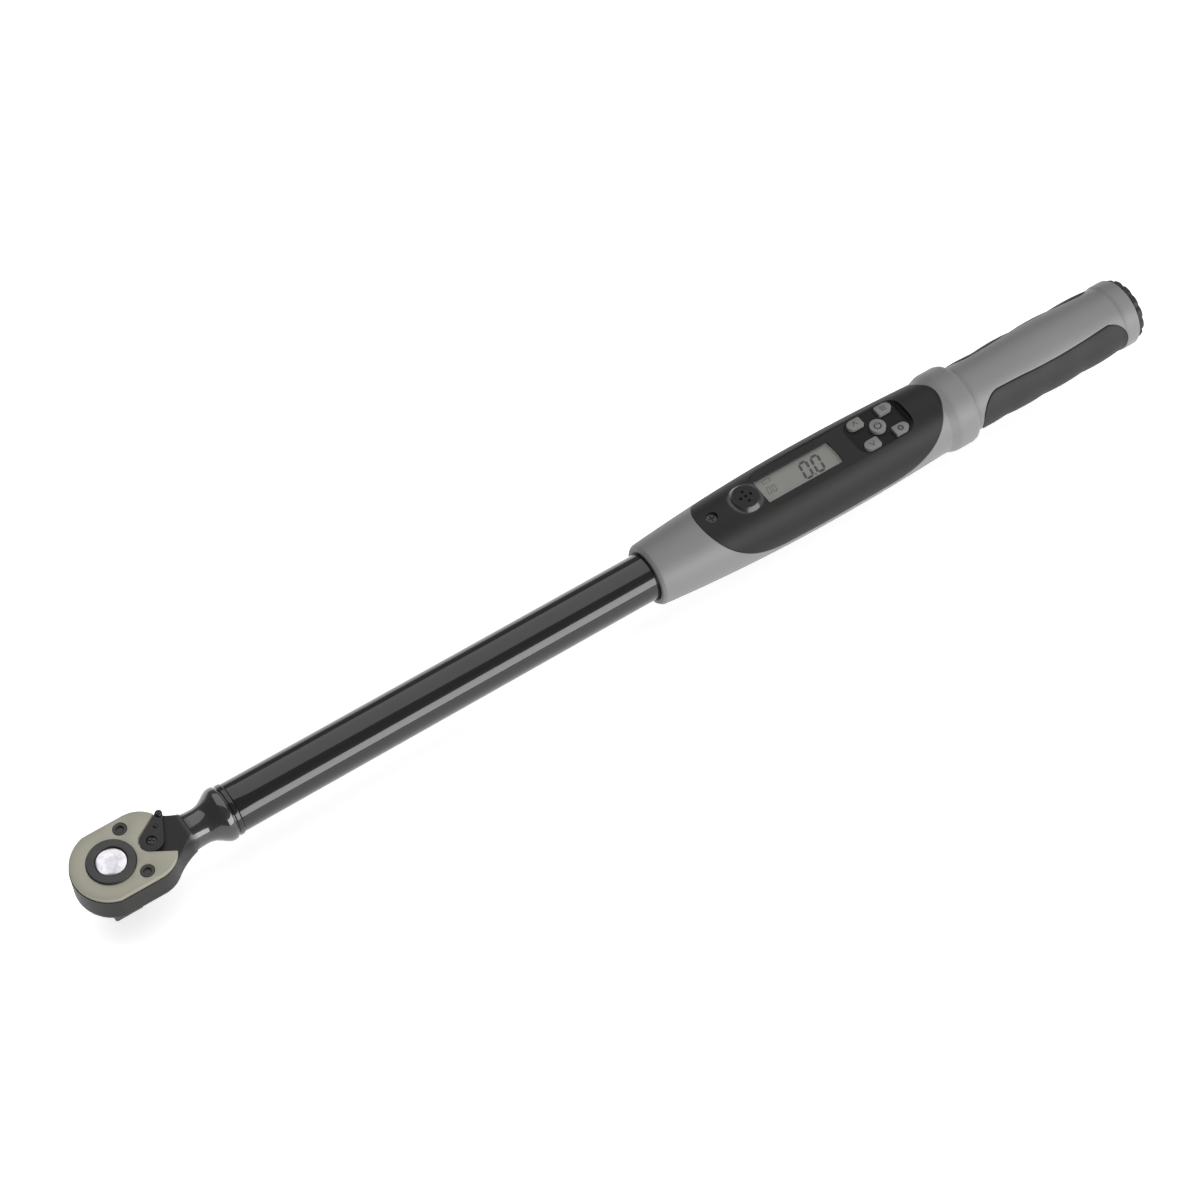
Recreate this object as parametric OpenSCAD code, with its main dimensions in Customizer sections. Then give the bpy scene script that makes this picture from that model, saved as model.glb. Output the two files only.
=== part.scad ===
// Electronic torque wrench with a reversible half-inch ratchet head.
// Millimetres. The origin is the centre of the drive square's end face, +X runs
// along the handle towards the battery cap and +Z is the display side.

/* [Drive and ratchet] */
// Height of the tube's centre line above the end of the drive square
axis_z = 24; // [24:0.1:24.4]
// Width across the flats of the male drive square
drive_w = 12.7; // [12.5:0.05:12.7]
// Radius over the tips of the ratchet teeth
gear_r = 12.1; // [12.0:0.05:12.15]
// Depth of a ratchet tooth
tooth_h = 1; // [0.9:0.05:1.05]
// Number of ratchet teeth
teeth = 36; // [36:12:36]
// Radius of the anvil's black collar where it shows through the face plate
collar_r = 10.04; // [9.9:0.02:10.06]
// Radius of the quick-release button
button_r = 6.3; // [6:0.1:6.3]
// Travel of the quick-release button
button_travel = 2.5; // [2:0.1:2.5]
// Radius of the ball that holds a socket
ball_r = 2.3; // [2.2:0.05:2.3]

/* [Head] */
// Radius of the front of the face plate about the drive axis
plate_r = 16.65; // [16.6:0.05:16.8]
// Half width of the face plate
plate_half_w = 16.1; // [16:0.05:16.2]
// Thickness of the face plate
plate_t = 2.6; // [2.5:0.1:2.6]
// How far the forged body stands out round the face plate
body_lip = 0.35; // [0.2:0.05:0.5]
// Distance from the drive axis to the reversing lever's pivot
pivot_x = 17.9; // [17.8:0.05:18]
// Angle of the reversing lever's arm at rest
lever_angle = 48; // [45:1:48]
// Length of the lever's arm from its pivot to the centre of its round tip
lever_len = 12.3; // [11.5:0.1:12.5]

/* [Tube and handle] */
// Outside radius of the tube
tube_r = 10.8; // [10.7:0.05:10.82]
// Inside radius of the tube
tube_bore_r = 8.9; // [8.9:0.01:8.95]
// Where the front of the plastic housing starts
housing_x = 255; // [253:1:256]
// Largest radius of the housing
housing_r = 18.6; // [18.4:0.1:18.8]
// Rear end of the grip
grip_end_x = 514; // [514:0.5:515]
// Radius of the battery cap's fluted rim
cap_r = 14.6; // [14:0.1:15]
// Number of flutes round the battery cap
cap_flutes = 14; // [12:1:16]

/* [Display and keys] */
// Height of the recessed display panel above the centre line
panel_h = 14.9; // [14.8:0.1:15]
// Length of the display window
window_l = 39.3; // [38:0.5:39.5]
// Width of the display window
window_w = 12.9; // [12:0.1:13]
// Height of the keys above the panel
key_proud = 1; // [0.8:0.1:1.2]

/* [Hidden] */

$fn = 64;
fit = 0.05;                             // radial clearance of a running fit
touch = 0.1;                            // gap between neighbouring parts

// head heights, from the end of the drive square
body_bottom = axis_z - 7.4;
body_top = axis_z + 7;
plate_top = body_top + plate_t;
pocket_floor = body_bottom + 3.4;
collar_top = plate_top + 0.8;
journal_r = 9.6;
pocket_r = gear_r + 0.4;
tooth_mesh = 0.15;                      // play between pawl and ratchet teeth
pawl_tilt = 7;                          // pawl's rock to each side of the middle
rear_r = 12.5;                          // round rear corners of the face plate
rear_x = 13.4;
screw_x = 9.9;
screw_y = 11.3;
bearing_r = 4.7;                        // bore in the body for the lever's spindle
plunger_dir = lever_angle + 180;
plunger_z = axis_z + 4.3;

// tube and handle, along the wrench
neck_r = 7.8;
flange_x = 50.2;
ring_x = 53.2;
tube_end_x = 500;
widest_x = 346;
housing_end_x = 421;
wall = 2;
seam_h = -3.5;                          // lowest line of the cover's seam
sleeve_x = 402;
cell_r = 7.1;
cell_l = 50.2;
cell_x = 405;
window_x = 333.95;
pad_x = 376.5;
buzzer_x = 306;
cover_screw_x = 288.4;
insert_r = 13.4;                        // floor of the pockets for the rubber inserts

// ---------- helpers ----------

module at_axis() translate([0, 0, axis_z]) children();

// Solid of revolution about the tube's centre line, from [x, radius] points.
module lathe(profile) {
    at_axis() rotate([0, 90, 0]) rotate_extrude($fn = 96)
        polygon([for (p = profile) [p[1], p[0]]]);
}

module rod_x(x0, x1, r) at_axis() translate([x0, 0, 0]) rotate([0, 90, 0])
    cylinder(h = x1 - x0, r = r);

module disc(x, y, z0, z1, r) translate([x, y, z0]) cylinder(h = z1 - z0, r = r);

module block(x0, x1, y0, y1, z0, z1) translate([x0, y0, z0])
    cube([x1 - x0, y1 - y0, z1 - z0]);

// Extrudes an outline drawn as seen from the side, [x, height], across the wrench.
module side_cut(half_w = 30) rotate([90, 0, 0])
    linear_extrude(height = 2 * half_w, center = true) children();

module rounded_2d(x0, x1, y0, y1, r) {
    translate([x0 + r, y0]) square([x1 - x0 - 2 * r, y1 - y0]);
    translate([x0, y0 + r]) square([x1 - x0, y1 - y0 - 2 * r]);
    for (x = [x0 + r, x1 - r]) for (y = [y0 + r, y1 - r]) translate([x, y]) circle(r = r);
}

function unit(v) = v / norm(v);
function along(p, i) = unit(p[min(i + 1, len(p) - 1)] - p[max(i - 1, 0)]);
function ring(c, t, ref, r, n) = let (u = unit(cross(t, ref)), v = cross(t, u))
    [for (k = [0 : n - 1]) c + r * (cos(360 * k / n) * u + sin(360 * k / n) * v)];

// Round wire of radius r swept along the points of a path.
module wire(path, r, ref, n = 8) {
    m = len(path);
    polyhedron(
        points = [for (i = [0 : m - 1]) each ring(path[i], along(path, i), ref, r, n)],
        faces = concat(
            [[for (k = [0 : n - 1]) k]],
            [[for (k = [n - 1 : -1 : 0]) (m - 1) * n + k]],
            [for (i = [0 : m - 2]) for (k = [0 : n - 1])
                [(i + 1) * n + k, (i + 1) * n + (k + 1) % n, i * n + (k + 1) % n, i * n + k]]
        )
    );
}

// Compression spring about +Z, from z = 0 to z = l.
module coil(r, wire_r, l, turns, steps = 16) {
    rise = (l - 2 * wire_r) / (turns * steps);
    wire([for (i = [0 : turns * steps])
        [r * cos(360 * i / steps), r * sin(360 * i / steps), wire_r + rise * i]],
        wire_r, [0, 0, 1], 6);
}

// ---------- ratchet head ----------

// Seen from above: round front, straight flanks and round rear corners.
module head_2d(lip) {
    intersection() {
        circle(r = plate_r + lip, $fn = 96);
        square([60, 2 * (plate_half_w + lip)], center = true);
    }
    translate([-3, -plate_half_w - lip]) square([rear_x + 3, 2 * (plate_half_w + lip)]);
    for (s = [-1, 1]) translate([rear_x, s * (plate_half_w - rear_r)])
        circle(r = rear_r + lip, $fn = 96);
}

// Hollow shoulders that run from the rear corners into the neck.
module shoulder_2d() {
    fillet_r = 21.3;
    fillet_x = 36;
    difference() {
        translate([20, -14.5]) square([fillet_x - 20, 29]);
        for (s = [-1, 1]) translate([fillet_x, s * (neck_r + 0.1 + fillet_r)])
            circle(r = fillet_r, $fn = 96);
    }
}

module ratchet_2d(grow = 0) {
    tip = gear_r + grow;
    root = gear_r - tooth_h + grow;
    polygon([for (i = [0 : 2 * teeth - 1])
        (i % 2 == 0 ? tip : root) * [cos(180 * i / teeth), sin(180 * i / teeth)]]);
}

module head_body() color([0.10, 0.10, 0.10]) {
    edge = 3;
    difference() {
        union() {
            intersection() {
                translate([0, 0, body_bottom]) linear_extrude(body_top - body_bottom) {
                    head_2d(body_lip);
                    shoulder_2d();
                }
                // rolled lower edge round the front
                union() {
                    translate([0, 0, body_bottom]) rotate_extrude($fn = 96)
                        polygon([[0, 0], [plate_r + body_lip - edge, 0],
                            for (a = [-70 : 20 : 0]) [plate_r + body_lip - edge + edge * cos(a),
                                edge + edge * sin(a)],
                            [plate_r + body_lip, 20], [0, 20]]);
                    block(-1, 60, -30, 30, body_bottom, body_top);
                }
                // rolled lower edge along the flanks
                translate([-20, 0, body_bottom]) rotate([90, 0, 90]) linear_extrude(60)
                    polygon([for (a = [-90 : 20 : 10]) let (w = plate_half_w + body_lip - edge)
                            [w + edge * cos(min(a, 0)), edge + edge * sin(min(a, 0))],
                        [plate_half_w + body_lip, 20], [-plate_half_w - body_lip, 20],
                        for (a = [10 : -20 : -90]) let (w = plate_half_w + body_lip - edge)
                            [-w - edge * cos(min(a, 0)), edge + edge * sin(min(a, 0))]]);
                // shoulders round off into the neck
                lathe([[-30, 0], [-30, 30], [17, 30], [21, 16.5], [25, 12.6], [30, 9.9],
                    [34, 8.6], [37, 8.1], [37, 0]]);
            }
            // neck, bell, flange and the spigot inside the tube
            lathe([[33, 0], [33, 8.05], [36, neck_r + 0.05], [39, neck_r], [41.5, 8.2],
                [43.5, 9.3], [45.5, 10.8], [46.8, 11.55], [48, 11.85], [flange_x - 0.8, 11.85],
                [flange_x, 11.3], [flange_x, 8.8], [76, 8.8], [76, 0]]);
        }
        // ratchet pocket, drive hole, pawl pocket and spindle bearing
        disc(0, 0, pocket_floor, body_top + 1, pocket_r);
        disc(0, 0, body_bottom - 1, pocket_floor + 1, journal_r + fit);
        block(4, 16.2, -8, 8, pocket_floor, body_top + 1);
        disc(pivot_x, 0, pocket_floor, body_top + 1, bearing_r);
        disc(pivot_x, 0, body_bottom + 1, pocket_floor + 1, 2);
        for (s = [-1, 1]) disc(screw_x, s * screw_y, axis_z - 3, body_top + 1, 1.25);
        // socket for the torque beam and the holes for its pins
        rod_x(58, 77, 6);
        for (x = [64, 71]) disc(x, 0, axis_z - 12, axis_z + 12, 1.5);
    }
}

module face_plate() color([0.60, 0.59, 0.53]) {
    notch = 31.5;                       // half angle of the notch for the lever
    notch_r = 5.3;
    difference() {
        translate([0, 0, body_top]) linear_extrude(plate_t) difference() {
            head_2d(0);
            circle(r = collar_r + fit);
            translate([pivot_x, 0]) circle(r = notch_r);
            translate([pivot_x, 0]) polygon([
                notch_r * [cos(90 + notch), sin(90 + notch)],
                notch_r * [cos(90 + notch), sin(90 + notch)] + 20 * [cos(notch), sin(notch)],
                notch_r * [cos(90 + notch), -sin(90 + notch)] + 20 * [cos(notch), -sin(notch)],
                notch_r * [cos(90 + notch), -sin(90 + notch)]]);
        }
        for (s = [-1, 1]) {
            disc(screw_x, s * screw_y, body_top - 1, plate_top + 1, 1.4);
            disc(screw_x, s * screw_y, plate_top - 1.6, plate_top + 1, 2.95);
        }
    }
}

module plate_screws() color([0.16, 0.16, 0.15]) {
    for (s = [-1, 1]) difference() {
        union() {
            disc(screw_x, s * screw_y, axis_z - 2.8, plate_top - 1.5, 1.2);
            disc(screw_x, s * screw_y, plate_top - 1.6, plate_top - 0.15, 2.85);
        }
        translate([screw_x, s * screw_y, plate_top - 1.1]) cylinder(h = 2, r = 1.45, $fn = 6);
    }
}

module ratchet_anvil() color([0.20, 0.20, 0.20]) {
    square_top = body_bottom - 1.2;
    gear_z = pocket_floor + 0.8;
    difference() {
        union() {
            intersection() {
                block(-drive_w / 2, drive_w / 2, -drive_w / 2, drive_w / 2, 0, square_top);
                rotate_extrude() polygon([[0, 0], [7.6, 0], [8.6, 1.2], [8.6, 30], [0, 30]]);
            }
            disc(0, 0, square_top, gear_z + 0.5, journal_r);
            translate([0, 0, gear_z]) linear_extrude(body_top - 0.2 - gear_z) ratchet_2d();
            rotate_extrude() polygon([[0, body_top - 0.5], [collar_r, body_top - 0.5],
                [collar_r, collar_top - 0.4], [collar_r - 0.4, collar_top], [0, collar_top]]);
        }
        // button's counterbore, spring's pocket and the pin's bore
        disc(0, 0, collar_top - 2.7 - button_travel, collar_top + 1, button_r + 0.1);
        disc(0, 0, pocket_floor, collar_top, 4.4);
        disc(0, 0, 5.5 - button_travel, collar_top, 2.55);
        // ball's hole, with a narrower mouth that keeps the ball in
        translate([0, 0, 7.9]) rotate([90, 0, 0]) cylinder(h = 5.9, r = ball_r + fit);
        translate([0, 0, 7.9]) rotate([90, 0, 0]) cylinder(h = 8, r = ball_r - 0.15);
    }
}

module thrust_washer() color([0.62, 0.62, 0.60]) difference() {
    disc(0, 0, pocket_floor, pocket_floor + 0.7, gear_r - tooth_h);
    disc(0, 0, pocket_floor - 1, pocket_floor + 1, journal_r + 0.2);
}

module release_button() color([0.86, 0.86, 0.87]) difference() {
    rotate_extrude() polygon([[0, collar_top - 2.5], [button_r, collar_top - 2.5],
        [button_r, collar_top - 1],
        for (a = [25 : -5 : 0]) let (dome = button_r / sin(25))
            [dome * sin(a), collar_top - 1 + dome * (cos(a) - cos(25))]]);
    disc(0, 0, collar_top - 3, collar_top - 1.3, 1.95);
}

module release_pin() color([0.66, 0.66, 0.66]) {
    shaft_r = 2.45;
    rotate_extrude() polygon([[0, 5.8], [shaft_r - 0.3, 5.8], [shaft_r, 6.1], [shaft_r, 7.6],
        [1.5, 10], [1.5, 11.6], [shaft_r, 12.6], [shaft_r, collar_top - 2.5],
        [1.95, collar_top - 2.5], [1.95, collar_top - 1.3], [0, collar_top - 1.3]]);
}

module release_spring() color([0.75, 0.75, 0.75]) translate([0, 0, pocket_floor])
    coil(3.4, 0.45, collar_top - 2.5 - pocket_floor, 6);

module locking_ball() color([0.80, 0.80, 0.80]) translate([0, -4.9, 7.9]) sphere(r = ball_r);

// ---------- reversing lever and pawl ----------

module at_pivot(angle = 0) translate([pivot_x, 0, 0]) rotate([0, 0, angle]) children();

module reversing_lever() color([0.13, 0.13, 0.12]) {
    hub_r = 4.9;
    tip_r = 1.5;
    lever_z = body_top + 0.15;
    lever_top = body_top + 2;
    side = acos((hub_r - tip_r) / lever_len);
    difference() {
        at_pivot(lever_angle) {
            translate([0, 0, lever_z]) linear_extrude(lever_top - lever_z) {
                circle(r = hub_r);
                translate([lever_len, 0]) circle(r = tip_r);
                polygon([for (s = [-1, 1]) hub_r * [cos(side), s * sin(side)],
                    for (s = [1, -1]) [lever_len, 0] + tip_r * [cos(side), s * sin(side)]]);
            }
            // raised thumb pad at the tip
            translate([lever_len, 0, lever_z]) cylinder(h = 2.8, r = tip_r);
        }
        disc(pivot_x, 0, lever_top - 1.1, lever_top + 1, 2.2);
        disc(pivot_x, 0, body_top - 1, lever_top, 1.15);
        at_pivot(lever_angle) block(-2.25, 2.25, -2.25, 2.25, body_top - 1, body_top + 0.75);
    }
}

module lever_screw() color([0.18, 0.18, 0.17]) difference() {
    union() {
        disc(pivot_x, 0, body_top + 0.9, body_top + 1.85, 2.1);
        disc(pivot_x, 0, body_top - 0.9, body_top + 1, 1.05);
    }
    at_pivot(lever_angle) {
        block(-1.5, 1.5, -0.25, 0.25, body_top + 1.3, body_top + 2);
        block(-0.25, 0.25, -1.5, 1.5, body_top + 1.3, body_top + 2);
    }
}

module lever_spindle() color([0.55, 0.55, 0.55]) difference() {
    union() {
        disc(pivot_x, 0, axis_z + 2.9, body_top + 0.05, bearing_r - fit - 0.03);
        at_pivot(lever_angle) block(-2.2, 2.2, -2.2, 2.2, body_top, body_top + 0.7);
    }
    disc(pivot_x, 0, body_top - 1.05, body_top + 2, 1.1);
    at_pivot(plunger_dir) translate([0.3, 0, plunger_z]) rotate([0, 90, 0])
        cylinder(h = 6, r = 1.25);
}

module pawl_plunger() color([0.78, 0.78, 0.78]) at_pivot(plunger_dir)
    translate([0, 0, plunger_z]) {
        translate([2.3, 0, 0]) rotate([0, 90, 0]) cylinder(h = 1.25, r = 1.2);
        translate([3.55, 0, 0]) sphere(r = 1.2);
    }

module pawl_spring() color([0.75, 0.75, 0.75]) at_pivot(plunger_dir)
    translate([0.35, 0, plunger_z]) rotate([0, 90, 0]) coil(0.85, 0.18, 1.9, 3, 12);

// Rocker with a toothed wing on each side of its pin. At rest the lower wing is in mesh.
module pawl() color([0.58, 0.58, 0.57]) {
    pawl_z = pocket_floor + 0.2;
    difference() {
        union() {
            disc(pivot_x, 0, pawl_z, axis_z + 2.7, bearing_r - 0.25);
            translate([0, 0, pawl_z]) linear_extrude(body_top - 0.4 - pawl_z) difference() {
                at_pivot(-pawl_tilt) translate([-pivot_x, 0]) translate([8, -6.6])
                    square([7, 13.2]);
                // clears the gear's teeth over the whole rock
                for (rock = [0 : pawl_tilt / 4 : 2 * pawl_tilt])
                    at_pivot(-rock) translate([-pivot_x, 0]) ratchet_2d(tooth_mesh);
            }
        }
        disc(pivot_x, 0, axis_z + 2.7, body_top + 1, bearing_r + 0.15);
        disc(pivot_x, 0, pawl_z - 1, body_top, 1.98 + fit);
    }
}

module pawl_pin() color([0.70, 0.70, 0.70])
    disc(pivot_x, 0, body_bottom + 1.1, axis_z + 2.8, 1.98);

// ---------- tube and torque beam ----------

module tube() color([0.06, 0.06, 0.06]) difference() {
    lathe([[ring_x + touch, tube_bore_r], [ring_x + touch, tube_r], [tube_end_x, tube_r],
        [tube_end_x, tube_bore_r]]);
    // slots for the wiring and holes for the fastening screws
    for (x = [299, 397]) block(x - 4, x + 4, -3, 3, axis_z, axis_z + 14);
    disc(cover_screw_x, 0, axis_z, axis_z + 14, 1.35);
    for (x = [259, 414]) disc(x, 0, axis_z - 14, axis_z, 1.35);
}

module tube_ring() color([0.08, 0.08, 0.08]) lathe([[flange_x + touch, tube_bore_r],
    [flange_x + touch, 10.9], [flange_x + 0.7, 10.9], [flange_x + 1, 11.35],
    [ring_x - 0.4, 11.35], [ring_x, 11], [ring_x, tube_bore_r]]);

// Bar that bends a little under load. It runs from the head's spigot to a boss in the tube.
module torque_beam() color([0.66, 0.67, 0.68]) difference() {
    union() {
        rod_x(58.3, 76.3, 5.9);
        block(76.1, 150.5, -5, 5, axis_z - 6, axis_z + 6);
        rod_x(150, 170, tube_bore_r - 0.03);
    }
    for (x = [64, 71]) disc(x, 0, axis_z - 12, axis_z + 12, 1.5);
    block(149, 171, -1.5, 1.5, axis_z + 5, axis_z + 12);
}

module beam_pins() color([0.72, 0.72, 0.72]) for (x = [64, 71])
    disc(x, 0, axis_z - 8.4, axis_z + 8.4, 1.48);

module strain_gauges() color([0.80, 0.62, 0.25]) for (x = [98, 116]) for (s = [-1, 1])
    block(x - 4, x + 4, s * 5.1 - 0.1, s * 5.1 + 0.1, axis_z - 2.5, axis_z + 2.5);

// Lead from the gauges along the tube, up through the slot to the circuit board.
module gauge_wiring() color([0.55, 0.12, 0.10]) at_axis()
    wire([[122, 5.8, 0], [128, 5.9, 2.5], [133, 5.9, 4.6], [135.5, 5.9, 5.7],
        [138, 5.3, 6.7], [141, 3.8, 7.2], [145, 1.6, 7.5], [148, 0.4, 7.5], [152, 0, 7.3],
        [180, 0, 7], [210, 0, 6], [240, 0, 6], [270, 0, 7], [288, 0, 6.6], [294, 0, 7.2],
        [297.5, 0, 8.8], [300, 0, 10.6], [301.2, 0, 11.2]], 0.5, [0.02, 1, 0.02]);

// ---------- housing ----------

function barrel_r(x) = housing_r - (x < widest_x ? 5.46e-4 : 4.2e-4) * pow(x - widest_x, 2);

module barrel_solid() {
    lathe(concat([[housing_x, 0], [housing_x, 13.1], [housing_x + 0.5, 13.8],
        [housing_x + 1.6, 14.25]],
        [for (x = [housing_x + 5 : 12 : 403]) [x, barrel_r(x)]],
        [[405, 17.25], [408, 17.6], [410, 18.4], [411.5, 18.7], [419, 18.7], [420.5, 18.3],
        [housing_end_x, 17.6], [housing_end_x, 0]]));
}

module barrel_void() {
    lathe(concat([[262, 0]], [for (x = [262 : 14 : 403]) [x, barrel_r(x) - wall]],
        [[403, barrel_r(403) - wall], [403, 0]]));
}

// Everything above the seam between the two halves of the housing, seen from the side.
module above_seam() at_axis() side_cut() {
    front_x = 317.5;
    rear_start_x = 374.3;
    polygon(concat(
        [for (x = [277.5 : 5 : front_x]) [x, seam_h + 0.01533 * pow(front_x - x, 2)]],
        [for (x = [rear_start_x : 5 : 412]) [x, seam_h + 0.01887 * pow(x - rear_start_x, 2)]],
        [[412, 30], [277.5, 30]]));
}

module lower_housing() color([0.53, 0.53, 0.52]) difference() {
    barrel_solid();
    barrel_void();
    above_seam();
    rod_x(250, 430, tube_r + fit);
    for (x = [259, 414]) {
        disc(x, 0, axis_z - 25, axis_z - 10, 1.35);
        disc(x, 0, axis_z - 25, axis_z - 12.4, 2.7);
    }
}

module housing_screws() color([0.30, 0.30, 0.30]) for (x = [259, 414]) difference() {
    union() {
        disc(x, 0, axis_z - 14, axis_z - 12.4, 2.6);
        disc(x, 0, axis_z - 12.5, axis_z - 9.2, 1.3);
    }
    block(x - 1.6, x + 1.6, -0.3, 0.3, axis_z - 15, axis_z - 13.2);
    block(x - 0.3, x + 0.3, -1.6, 1.6, axis_z - 15, axis_z - 13.2);
}

// Bullet-shaped outline of a corner key, with its point towards +X.
module bullet_2d(grow = 0) {
    rounded_2d(-3.85 - grow, 1.2, -2.5 - grow, 2.5 + grow, 0.6);
    translate([0.75, 0]) intersection() {
        translate([0, -0.7]) circle(r = 3.2 + grow);
        translate([0, 0.7]) circle(r = 3.2 + grow);
        translate([-1, -5]) square([6, 10]);
    }
}

module key_2d(place, grow = 0) {
    if (place == 0) translate([pad_x, 0]) circle(r = 3.7 + grow);
    else translate([pad_x + place[0] * 7.9, place[1] * 6.4])
        mirror([place[0] < 0 ? 1 : 0, 0]) bullet_2d(grow);
}
corner_keys = [[-1, 1], [-1, -1], [1, 1], [1, -1]];

module top_cover() color([0.24, 0.24, 0.23]) difference() {
    union() {
        intersection() {
            barrel_solid();
            translate([0, 0, touch]) above_seam();
        }
        // sounder boss
        at_axis() translate([buzzer_x, 0, 13]) cylinder(h = 4.9, r = 5.6);
    }
    intersection() {
        barrel_void();
        at_axis() block(250, 430, -25, 25, -20, panel_h - 1.8);
    }
    rod_x(250, 430, tube_r + 0.3);
    // recessed panel that holds the display and the keys
    at_axis() translate([0, 0, panel_h]) linear_extrude(10)
        rounded_2d(312.5, 391, -10.3, 10.3, 6);
    at_axis() translate([0, 0, 5]) linear_extrude(20) {
        translate([window_x, 0]) square([window_l + touch, window_w + touch], center = true);
        key_2d(0, 0.2);
        for (k = corner_keys) key_2d(k, 0.2);
    }
    // sound holes
    at_axis() for (p = [[0, 0], [2.6, 0], [-2.6, 0], [0, 2.6], [0, -2.6]])
        translate([buzzer_x + p[0], p[1], 12]) cylinder(h = 8, r = 0.7);
    at_axis() translate([buzzer_x, 0, 10]) cylinder(h = 6.4, r = 4.6);
    // cover screw
    at_axis() translate([cover_screw_x, 0, 5]) cylinder(h = 20, r = 1.4);
    at_axis() translate([cover_screw_x, 0, 14]) cylinder(h = 20, r = 2.7);
}

module cover_screw() color([0.45, 0.45, 0.44]) at_axis() translate([cover_screw_x, 0, 0])
    difference() {
        union() {
            translate([0, 0, 14]) cylinder(h = 1.6, r = 2.4);
            translate([0, 0, 9.2]) cylinder(h = 5, r = 1.3);
        }
        translate([-1.5, -0.3, 14.9]) cube([3, 0.6, 2]);
        translate([-0.3, -1.5, 14.9]) cube([0.6, 3, 2]);
    }

module slab(x0, x1, half_w, h0, h1) at_axis() block(x0, x1, -half_w, half_w, h0, h1);

module display_lens() color([0.60, 0.62, 0.58, 0.5]) slab(window_x - window_l / 2,
    window_x + window_l / 2, window_w / 2, 13.25, panel_h - 0.3);

module lcd_module() color([0.55, 0.57, 0.52]) slab(313, 355, 7.6, 11.85, 13);

module circuit_board() color([0.10, 0.35, 0.20]) {
    slab(301.5, 392, 8.5, 10.9, 11.5);
    slab(356.8, 361, 3.5, 11.5, 12.6);
}

module battery_wiring() color([0.10, 0.10, 0.30]) at_axis()
    wire([[403.2, 0, 0], [401, 0, 0.3], [399.6, 0, 2.2], [398.6, 0, 5], [397.8, 0, 8],
        [397, 0, 10], [395.6, 0, 11], [394, 0, 11.4], [392.1, 0, 11.4]], 0.5, [0, 1, 0]);

module buzzer() color([0.12, 0.12, 0.12]) at_axis() translate([buzzer_x, 0, 11.55])
    cylinder(h = 4, r = 4.4);

module keypad_mat() color([0.35, 0.35, 0.35]) slab(363, 390, 9.8, 11.55, 11.85);

// A key: its cap stands up through the cover and a wider skirt holds it in.
module key(place) at_axis() {
    translate([0, 0, panel_h - 2.4]) linear_extrude(0.5) intersection() {
        key_2d(place, 0.5);
        translate([pad_x, 0]) square([40, 17.6], center = true);
    }
    translate([0, 0, panel_h - 2]) linear_extrude(2 + key_proud) key_2d(place);
}

module centre_key() color([0.56, 0.56, 0.54]) key(0);
module upper_front_key() color([0.56, 0.56, 0.54]) key([-1, 1]);
module lower_front_key() color([0.56, 0.56, 0.54]) key([-1, -1]);
module upper_rear_key() color([0.56, 0.56, 0.54]) key([1, 1]);
module lower_rear_key() color([0.56, 0.56, 0.54]) key([1, -1]);

// ---------- grip and batteries ----------

module grip_solid() lathe([[housing_end_x + 0.3, 0], [housing_end_x + 0.3, 14.6],
    [423.5, 15.6], [444, 15.9], [458, 16.45], [472, 16.5], [484, 16.2], [494, 15.7],
    [502, 15.1], [506.5, 15.5], [508.5, 15.9], [grip_end_x - 0.8, 15.9], [grip_end_x, 15.2],
    [grip_end_x, 0]]);

module insert_zone(side, grow = 0) intersection() {
    at_axis() side_cut() rounded_2d(425 - grow, 507 + grow, -11.8 - grow, 11.8 + grow, 10);
    translate([400, side > 0 ? 4 : -34, 0]) cube([130, 30, 60]);
}

module grip_body() color([0.53, 0.53, 0.52]) difference() {
    grip_solid();
    rod_x(400, 530, tube_r + fit);
    for (side = [-1, 1]) difference() {
        insert_zone(side);
        rod_x(400, 530, insert_r);
    }
}

// Rubber pad with shallow finger waves.
module grip_insert(side) intersection() {
    difference() {
        lathe(concat([[424, 0]], [for (x = [424 : 3 : 508])
            [x, 15.75 + 0.5 * sin(180 * (x - 424) / 84) + 0.3 * cos(360 * (x - 450.5) / 21.5)]],
            [[508, 0]]));
        rod_x(400, 530, insert_r + fit);
    }
    insert_zone(side, -touch);
}

module left_grip_insert() color([0.15, 0.15, 0.15]) grip_insert(1);
module right_grip_insert() color([0.15, 0.15, 0.15]) grip_insert(-1);

module battery_sleeve() color([0.75, 0.75, 0.72]) lathe([[sleeve_x, 3], [sleeve_x, 8.85],
    [tube_end_x + 1, 8.85], [tube_end_x + 1, 7.4], [sleeve_x + 1.2, 7.4], [sleeve_x + 1.2, 3]]);

module batteries() color([0.70, 0.55, 0.20]) for (i = [0, 1])
    let (x = cell_x + i * (cell_l + 0.2))
        lathe([[x, 0], [x, cell_r - 0.4], [x + 0.4, cell_r], [x + cell_l - 2, cell_r],
            [x + cell_l - 1.5, 5], [x + cell_l - 1.5, 2.7], [x + cell_l, 2.7],
            [x + cell_l, 0]]);

module front_contact() color([0.80, 0.70, 0.40]) rod_x(sleeve_x + 1.3, cell_x - 0.1, 6.5);

module thread_bush() color([0.72, 0.72, 0.72]) lathe([[tube_end_x + 1.2, 10],
    [tube_end_x + 1.2, tube_r], [grip_end_x - 0.3, tube_r], [grip_end_x - 0.3, 10]]);

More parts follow.
